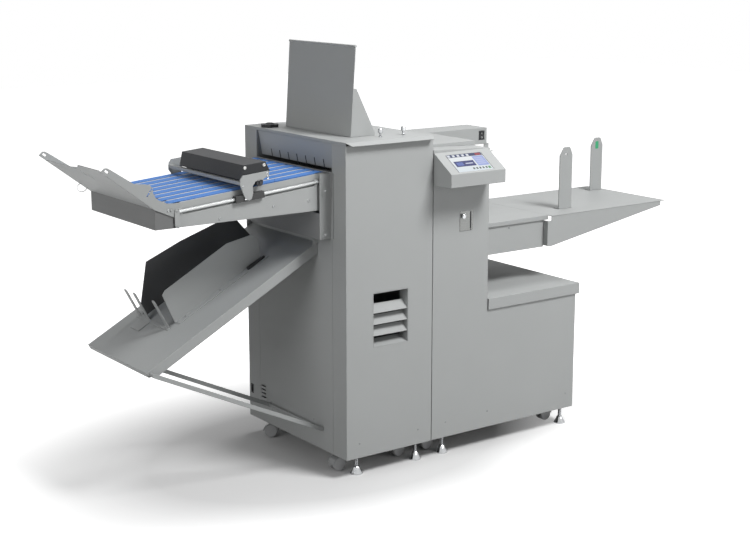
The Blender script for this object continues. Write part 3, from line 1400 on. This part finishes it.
def feeder_chassis(machine):
    """Frame of the feeder: pan, posts, walls, masts for the table and plates for the drum."""
    left = FEEDER_X + SHEET + FIT
    right = FEEDER_RIGHT - SHEET - FIT
    near = SHEET + FIT
    far = CABINET_DEPTH - FIT
    post_far = CABINET_DEPTH - SHEET - POST
    tower = TOWER_RIGHT - SHEET - FIT
    top = BOX_BOTTOM - FIT
    shelf = SHELF_TOP - SHEET - FIT
    frame = base_pan(left, right)
    posts = [post(left, near, top), post(left, post_far, top), post(tower - POST, near, top), post(tower - POST, post_far, top)]
    posts += [post(right - POST, near, shelf), post(right - POST, post_far, shelf)]
    rails = [
        box((left, y, top - POST), (tower, y + POST, top)) for y in (near, post_far)
    ]
    rails += [box((x, near, top - POST), (x + POST, post_far + POST - BITE, top)) for x in (left, tower - POST)]
    rails += [box((tower - BITE, y, shelf - POST), (right, y + POST, shelf)) for y in (near, post_far)]
    rails += [box((right - POST, near, shelf - POST), (right, post_far + POST - BITE, shelf))]
    back = [
        (left, FRAME_BOTTOM), (right, FRAME_BOTTOM), (right, shelf), (tower, shelf), (tower, top), (left, top),
    ]
    walls = [prism(back, "Y", far - SHEET, far)]
    wall_far = far - BITE
    walls.append(box((right - SHEET, near + POST, FRAME_BOTTOM + BITE), (right, wall_far, shelf - BITE)))
    walls.append(box((left, near + POST, FRAME_BOTTOM + BITE), (left + SHEET, wall_far, SLOT_Z)))
    side = box((tower - SHEET, near + POST, shelf - POST), (tower, wall_far, top - BITE))
    slot = box((tower - SHEET - OVERRUN, SLOT_MARGIN, SLOT_Z), (tower + OVERRUN, CABINET_DEPTH - SLOT_MARGIN, SLOT_Z + SLOT_HEIGHT))
    walls.append(cut(side, slot))
    masts = []
    for y in (MAST_INSET, CABINET_DEPTH - MAST_INSET - MAST_WIDTH):
        masts.append(box((tower - BITE, y, SHELF_TOP + FIT), (tower + MAST_DEPTH, y + MAST_WIDTH, MAST_TOP)))
    plates = []
    for y in (MID_Y - DRUM_LENGTH / 2 - PLATE - ROLLER_END_GAP, MID_Y + DRUM_LENGTH / 2 + ROLLER_END_GAP):
        low = (DRUM_X - DRUM_PLATE_WIDTH / 2, DRUM_Z - DRUM_RADIUS)
        high = (DRUM_X + DRUM_PLATE_WIDTH / 2, top - POST + BITE)
        plates.append(bearing_plate(low, high, y, [(DRUM_X, DRUM_Z, JOURNAL_RADIUS)]))
    carrier = box(
        (DRUM_X - DRUM_PLATE_WIDTH / 2, near + POST - BITE, top - POST),
        (DRUM_X - DRUM_PLATE_WIDTH / 2 + POST, post_far + BITE, top),
    )
    feet = [
        foot(x, y)
        for x in (FEEDER_X + FEEDER_FOOT_NEAR, FEEDER_RIGHT - FEEDER_FOOT_FAR_INSET)
        for y in (FOOT_INSET_Y, CABINET_DEPTH - FOOT_INSET_Y)
    ]
    docks = []
    for y in (DOCK_INSET, CABINET_DEPTH - DOCK_INSET):
        start = (left + BITE, y, RAIL_Z + RAIL_HEIGHT / 2)
        docks.append(rod(start, (-1, 0, 0), DOCK_RADIUS, 0, MODULE_GAP + 2 * SHEET + BITE, SMALL_SIDES))
    frame = join(frame, *posts, *rails, *walls, *masts, *plates, carrier, *docks, *feet)
    place_piece("feeder_chassis", frame, "frame_steel", machine)


def feed_drum(machine):
    near = MID_Y - DRUM_LENGTH / 2
    far = MID_Y + DRUM_LENGTH / 2
    place = (DRUM_X, MID_Y, DRUM_Z)
    overhang = ROLLER_END_GAP + PLATE + JOURNAL_OVERHANG
    drum = journaled_roller(place, DRUM_RADIUS, near, far, JOURNAL_RADIUS, overhang)
    place_piece("feed_drum", drum, "roller_rubber", body("feed_drum", place, machine))


def feeder_front_cover(machine):
    """One folded sheet over the feeder's front: tower, lower front and their returns."""
    low_top = SHELF_TOP - SHEET - FIT
    tower_end = TOWER_TOP - TOWER_TOP_FALL
    face = [
        (FEEDER_X, FRAME_BOTTOM),
        (FEEDER_RIGHT, FRAME_BOTTOM),
        (FEEDER_RIGHT, low_top),
        (TOWER_RIGHT, low_top),
        (TOWER_RIGHT, tower_end),
        (FEEDER_X, TOWER_TOP),
    ]
    sheet = prism(face, "Y", 0, SHEET)
    right = box((FEEDER_RIGHT - SHEET, BITE, FRAME_BOTTOM), (FEEDER_RIGHT, COVER_RETURN, low_top))
    left = box((FEEDER_X, BITE, FRAME_BOTTOM), (FEEDER_X + SHEET, COVER_RETURN, TOWER_TOP - SHEET))
    inner = box((TOWER_RIGHT - SHEET, BITE, low_top + FIT), (TOWER_RIGHT, COVER_RETURN, tower_end - SHEET / 2))
    top = [(FEEDER_X, TOWER_TOP), (TOWER_RIGHT, tower_end), (TOWER_RIGHT, tower_end - SHEET), (FEEDER_X, TOWER_TOP - SHEET)]
    roof = prism(top, "Y", BITE, HEAD_NEAR - SHEET)
    latch = box(
        (LATCH_X, -LATCH_THICKNESS, LATCH_Z),
        (LATCH_X + LATCH_WIDTH, BITE, LATCH_Z + LATCH_HEIGHT),
    )
    cover = join(sheet, right, left, inner, roof, latch)
    slot_right = LATCH_X + LATCH_WIDTH - LATCH_SLOT_MARGIN
    slot = box(
        (slot_right - LATCH_SLOT, -LATCH_THICKNESS - OVERRUN, LATCH_Z + LATCH_SLOT),
        (slot_right, SHEET + OVERRUN, LATCH_Z + LATCH_HEIGHT - LATCH_SLOT),
    )
    place_piece("feeder_front_cover", cut(cover, slot), "panel_grey", machine)


def latch_knob(machine):
    profile = scaled_profile(LATCH_PROFILE_SHARES, LATCH_KNOB_RADIUS, LATCH_KNOB_LENGTH)
    place = (LATCH_KNOB_X, -LATCH_THICKNESS - FIT, LATCH_KNOB_Z)
    knob = turned(profile, place, (0, -1, 0), SMALL_SIDES)
    place_piece("latch_knob", knob, "bright_steel", body("latch_knob", place, machine))


def shelf_cover(machine):
    """Cover over the low part of the feeder, with a flange along its front, right and rear."""
    left = TOWER_RIGHT + SHELF_GAP
    right = FEEDER_RIGHT + SHELF_OVERHANG_X
    near = -SHELF_OVERHANG_Y
    far = CABINET_DEPTH + SHELF_OVERHANG_Y
    low = SHELF_TOP - SHELF_FLANGE
    cover = box((left, near, low), (right, far, SHELF_TOP))
    well = box(
        (left - OVERRUN, near + SHEET, low - OVERRUN),
        (right - SHEET, far - SHEET, SHELF_TOP - SHEET),
    )
    place_piece("shelf_cover", cut(cover, well), "panel_grey", machine)


def feed_head_cover(machine):
    """Cover over the feed head, open below and towards the cabinet."""
    left = FEEDER_X
    right = TOWER_RIGHT + MODULE_GAP
    near = HEAD_NEAR
    far = HEAD_NEAR + HEAD_DEPTH
    low = BOX_BOTTOM
    cover = box((left, near, low), (right, far, HEAD_TOP))
    well = box(
        (left - OVERRUN, near + SHEET, low - OVERRUN),
        (right - SHEET, far - SHEET, HEAD_TOP - SHEET),
    )
    place_piece("feed_head_cover", cut(cover, well), "panel_grey", machine)


def control_box(machine):
    """Long box across the feed head, with the switch well, an end tab and its pin."""
    shell = box(
        (FEEDER_X, BOX_NEAR, BOX_BOTTOM),
        (BOX_RIGHT, BOX_NEAR + BOX_DEPTH, BOX_BOTTOM + BOX_HEIGHT),
    )
    half = ROCKER_HEIGHT / 2 + ROCKER_CLEARANCE
    well = box(
        (ROCKER_X - FIT, BOX_NEAR - OVERRUN, ROCKER_Z - half),
        (ROCKER_X + ROCKER_WIDTH + FIT, BOX_NEAR + ROCKER_WELL, ROCKER_Z + half),
    )
    tab_right = BOX_RIGHT + BOX_TAB_WIDTH / 2
    tab = box(
        (tab_right - BOX_TAB_WIDTH, BOX_NEAR + SHEET, BOX_BOTTOM - BOX_TAB_DROP),
        (tab_right, BOX_NEAR + 2 * SHEET, BOX_BOTTOM + SHEET),
    )
    pin = rod(
        (tab_right - BITE, BOX_NEAR + 1.5 * SHEET, BOX_BOTTOM - BOX_TAB_DROP + 2 * BOX_PIN_RADIUS),
        (1, 0, 0), BOX_PIN_RADIUS, 0, BOX_PIN_LENGTH, SMALL_SIDES,
    )
    place_piece("control_box", join(cut(shell, well), tab, pin), "panel_grey", machine)


def rocker_switch(machine):
    """Rocker with a dished face, turning on a line across the middle of its well."""
    half = ROCKER_HEIGHT / 2
    axis_y = BOX_NEAR + ROCKER_DEPTH / 2
    outline = [
        (BOX_NEAR - ROCKER_PROUD, ROCKER_Z - half),
        (BOX_NEAR + ROCKER_DEPTH, ROCKER_Z - half),
        (BOX_NEAR + ROCKER_DEPTH, ROCKER_Z + half),
        (BOX_NEAR - ROCKER_PROUD, ROCKER_Z + half),
        (BOX_NEAR - ROCKER_PROUD + ROCKER_DISH, ROCKER_Z),
    ]
    rocker = prism(outline, "X", ROCKER_X, ROCKER_X + ROCKER_WIDTH)
    owner = body("rocker_switch", (ROCKER_X + ROCKER_WIDTH / 2, axis_y, ROCKER_Z), machine)
    place_piece("rocker_switch", rocker, "black_plastic", owner)


def console(machine):
    """Sloping console on the tower front, and the touch screen let into it."""
    back = -FIT
    front = -CONSOLE_REACH
    outline = [
        (back, CONSOLE_BOTTOM),
        (back, CONSOLE_TOP),
        (front, CONSOLE_FRONT_TOP),
        (front, CONSOLE_BOTTOM + CONSOLE_FRONT_RISE),
    ]
    housing = prism(outline, "X", FEEDER_X, FEEDER_X + CONSOLE_WIDTH)
    slope = Vector((front - back, CONSOLE_FRONT_TOP - CONSOLE_TOP))
    down = slope.normalized()
    out = Vector((down.y, -down.x))
    if out.y < 0:
        out = -out
    start = Vector((back, CONSOLE_TOP)) + down * SCREEN_MARGIN_TOP

    def slab(margin, top, bottom):
        """Outline across the slope, larger than the screen by a margin."""
        first = start - down * margin
        last = start + down * (SCREEN_HEIGHT + margin)
        return [tuple(first + out * top), tuple(last + out * top), tuple(last + out * bottom), tuple(first + out * bottom)]

    left = FEEDER_X + SCREEN_MARGIN_X
    right = left + SCREEN_WIDTH
    well = prism(slab(FIT, OVERRUN, -SCREEN_THICKNESS - FIT), "X", left - FIT, right + FIT)
    place_piece("console", cut(housing, well), "panel_grey", machine)
    screen = prism(slab(0, 0, -SCREEN_THICKNESS), "X", left, right)
    place_piece("touch_screen", screen, "screen_glass", machine)


# Feed table


def feed_table(table):
    """Table top with a lip, on a carriage that runs on the feeder's masts."""
    left = TOWER_RIGHT - SHEET + MAST_DEPTH
    near = TABLE_NEAR
    far = CABINET_DEPTH - near
    lip = TABLE_TOP - TABLE_LIP
    path = [(near, lip), (near, TABLE_TOP), (far, TABLE_TOP), (far, lip)]
    top = prism(folded(path[::-1], SHEET), "X", left, TABLE_RIGHT)
    near += CARRIAGE_INSET
    far -= CARRIAGE_INSET
    bottom = TABLE_TOP - CARRIAGE_DEPTH
    carriage = box((left + SEAM, near, bottom), (CARRIAGE_RIGHT, far, TABLE_TOP - SHEET + BITE))
    well = box(
        (left + SEAM + SHEET, near + SHEET, bottom - OVERRUN),
        (CARRIAGE_RIGHT - SHEET, far - SHEET, TABLE_TOP + OVERRUN),
    )
    place_piece("feed_table", join(top, cut(carriage, well)), "panel_grey", table)


def table_extension(table):
    """Extension bolted to the carriage, with a tapering plate down each side."""
    left = TABLE_RIGHT + SEAM
    near = EXTENSION_NEAR
    far = CABINET_DEPTH - near
    root = CARRIAGE_RIGHT + FIT
    low = TABLE_TOP - SHEET
    under = TABLE_TOP - TABLE_LIP - SHEET
    deep = TABLE_TOP - EXTENSION_SIDE_DEPTH
    tip = TABLE_TOP - EXTENSION_TIP_DEPTH
    top = box((left, near - SEAM, low), (EXTENSION_RIGHT, far + SEAM, TABLE_TOP))
    right = EXTENSION_SIDE_RIGHT
    fold = low + BITE
    outline = [(root, deep), (left, deep - SHEET), (right, tip), (right, fold), (left + SEAM, fold), (left + SEAM, under), (root, under)]
    sides = [prism(outline, "Y", y, y + SHEET) for y in (near, far - SHEET)]
    brace = box((root + BITE, near + BITE, deep + SEAM), (root + BITE + SHEET, far - BITE, under - BITE))
    edge = box((right - 2 * SHEET, near + BITE, tip + BITE), (right - SHEET, far - BITE, fold - BITE / 2))
    place_piece("table_extension", join(top, *sides, brace, edge), "panel_grey", table)


def side_guide(name, x, y, drop, foot_side, table):
    """Upright sheet guide with a chamfered top and a foot on the table."""
    low = TABLE_TOP + FIT
    high = low + SIDE_GUIDE_HEIGHT - drop
    right = x + SIDE_GUIDE_WIDTH
    chamfer = SIDE_GUIDE_CHAMFER
    outline = [(x, low), (right, low), (right, high - 1.5 * chamfer), (right - chamfer / 1.5, high)]
    outline += [(x + chamfer, high), (x, high - 1.5 * chamfer)]
    outline = rounded(outline, {3: chamfer / 2, 4: chamfer / 2})
    blade = prism(outline, "Y", y, y + SIDE_GUIDE_THICKNESS)
    hole = rod(
        (x + SIDE_GUIDE_WIDTH / 2, y, high - SIDE_GUIDE_HOLE_DROP), (0, 1, 0),
        SIDE_GUIDE_HOLE, -OVERRUN, SIDE_GUIDE_THICKNESS + OVERRUN, SMALL_SIDES,
    )
    blade = cut(blade, hole)
    near = y + BITE if foot_side > 0 else y - SIDE_GUIDE_FOOT
    far = y + SIDE_GUIDE_FOOT if foot_side > 0 else y + BITE
    base = box((x, near, low), (right, far, low + SIDE_GUIDE_THICKNESS))
    owner = body(name, (x, y, TABLE_TOP), table)
    place_piece(name, join(blade, base), "tray_grey", owner)


def table_parts(machine):
    table = body("table", (TOWER_RIGHT, MID_Y, TABLE_TOP), machine)
    feed_table(table)
    table_extension(table)
    side_guide("side_guide_near", NEAR_GUIDE_X, NEAR_GUIDE_Y, 0, 1, table)
    side_guide("side_guide_far", FAR_GUIDE_X, FAR_GUIDE_Y, FAR_GUIDE_DROP, 1, table)


# Castors


def castor_yoke(top):
    """Yoke with the axle at zero: a hood over the wheels, a web between them, a stem and a disc."""
    hood = WHEEL_RADIUS + CASTOR_CLEARANCE
    width = CASTOR_WEB + 2 * (WHEEL_WIDTH + FIT)
    arc = []
    steps = 2 * ARC_STEPS
    for radius, order in ((hood + CASTOR_HOOD, range(steps + 1)), (hood, range(steps, -1, -1))):
        for k in order:
            angle = math.pi * k / steps
            arc.append((radius * math.cos(angle), radius * math.sin(angle)))
    shell = prism(arc, "Y", -width / 2, width / 2)
    hub = WHEEL_HUB
    outer = CASTOR_TRAIL + CASTOR_STEM / 2
    rise = math.sqrt(hood * hood - (CASTOR_TRAIL - CASTOR_STEM) ** 2)
    outline = [(-hub, -hub), (hub, -hub), (outer, hub), (outer, rise + SHEET), (-hub, rise + SHEET)]
    web = prism(outline, "Y", -CASTOR_WEB / 2, CASTOR_WEB / 2)
    reach = CASTOR_WEB / 2 + OVERRUN
    web = cut(web, rod((0, 0, 0), (0, 1, 0), bore(CASTOR_AXLE, SMALL_SIDES), -reach, reach, SMALL_SIDES))
    profile = [
        (CASTOR_STEM, rise),
        (CASTOR_STEM, top - CASTOR_DISC_THICKNESS),
        (CASTOR_DISC, top - CASTOR_DISC_THICKNESS),
        (CASTOR_DISC, top),
    ]
    stem = turned(profile, (CASTOR_TRAIL, 0, 0), (0, 0, 1), SMALL_SIDES)
    return join(web, shell, stem)


def castor(name, x, y, turn, machine):
    """Twin-wheel castor: a yoke that swivels and a wheel pair that trails it."""
    trail = Vector((-math.cos(turn), math.sin(turn), 0)) * CASTOR_TRAIL
    axle_z = WHEEL_RADIUS + WHEEL_LIFT
    swivel = body(name + "_yoke", (x, y, axle_z), machine)
    yoke = castor_yoke(FRAME_BOTTOM - FIT - axle_z)
    half = CASTOR_WEB / 2 + FIT
    outer = half + WHEEL_WIDTH
    shoulder = outer - WHEEL_CHAMFER
    rim = WHEEL_RADIUS - WHEEL_CHAMFER
    profile = [
        (rim, -outer), (WHEEL_RADIUS, -shoulder), (WHEEL_RADIUS, -half), (CASTOR_AXLE, -half),
        (CASTOR_AXLE, half), (WHEEL_RADIUS, half), (WHEEL_RADIUS, shoulder), (rim, outer),
    ]
    wheel = turned(profile, (0, 0, 0), (0, 1, 0), WHEEL_SIDES)
    centre = Vector((x, y, axle_z)) + trail
    spin = Matrix.Rotation(-turn, 4, "Z")
    for shape in (yoke, wheel):
        shape.data.transform(Matrix.Translation(centre) @ spin)
    place_piece(name + "_yoke", yoke, "castor_grey", swivel)
    owner = body(name + "_wheel", centre, swivel)
    place_piece(name + "_wheel", wheel, "castor_grey", owner)


def castors(machine):
    """Four castors under each module."""
    far_y = CABINET_DEPTH - CASTOR_INSET_Y
    modules = (
        ("main", CASTOR_NEAR_X, CABINET_WIDTH - CASTOR_FAR_INSET),
        ("feeder", FEEDER_X + FEEDER_CASTOR_NEAR, FEEDER_RIGHT - FEEDER_CASTOR_FAR_INSET),
    )
    for module, left, right in modules:
        corners = ((left, CASTOR_INSET_Y), (left, far_y), (right, CASTOR_INSET_Y), (right, far_y))
        names = ("front_left", "rear_left", "front_right", "rear_right")
        for corner, where, turn in zip(corners, names, CASTOR_TURNS):
            castor(module + "_castor_" + where, corner[0], corner[1], math.radians(turn), machine)


# Whole machine


def settle(machine):
    """Move the machine so that zero lies on the floor under the middle of its bounding box."""
    bpy.context.view_layer.update()
    graph = bpy.context.evaluated_depsgraph_get()
    corners = []
    for piece in bpy.data.objects:
        if piece.type == "MESH":
            seen = piece.evaluated_get(graph)
            corners += [seen.matrix_world @ Vector(corner) for corner in seen.bound_box]
    for axis in (0, 1):
        low = min(corner[axis] for corner in corners)
        high = max(corner[axis] for corner in corners)
        machine.location[axis] = -(low + high) / 2
    machine.location[2] = -min(corner[2] for corner in corners)


def build():
    clear_scene()
    machine = body("machine", (0, 0, 0))
    main_chassis(machine)
    front_cover(machine)
    louvre_insert(machine)
    left_panel(machine)
    rear_cover(machine)
    delivery_hood(machine)
    slotted_guard(machine)
    lid_parts(machine)
    fold_unit(machine)
    conveyor_frame(machine)
    belt_bed(machine)
    belt_rollers(machine)
    conveyor_end_cap(machine)
    bridge(machine)
    catch_tray(machine)
    drop_tray(machine)
    feeder_chassis(machine)
    feed_drum(machine)
    feeder_front_cover(machine)
    latch_knob(machine)
    shelf_cover(machine)
    feed_head_cover(machine)
    control_box(machine)
    rocker_switch(machine)
    console(machine)
    table_parts(machine)
    castors(machine)
    settle(machine)


build()
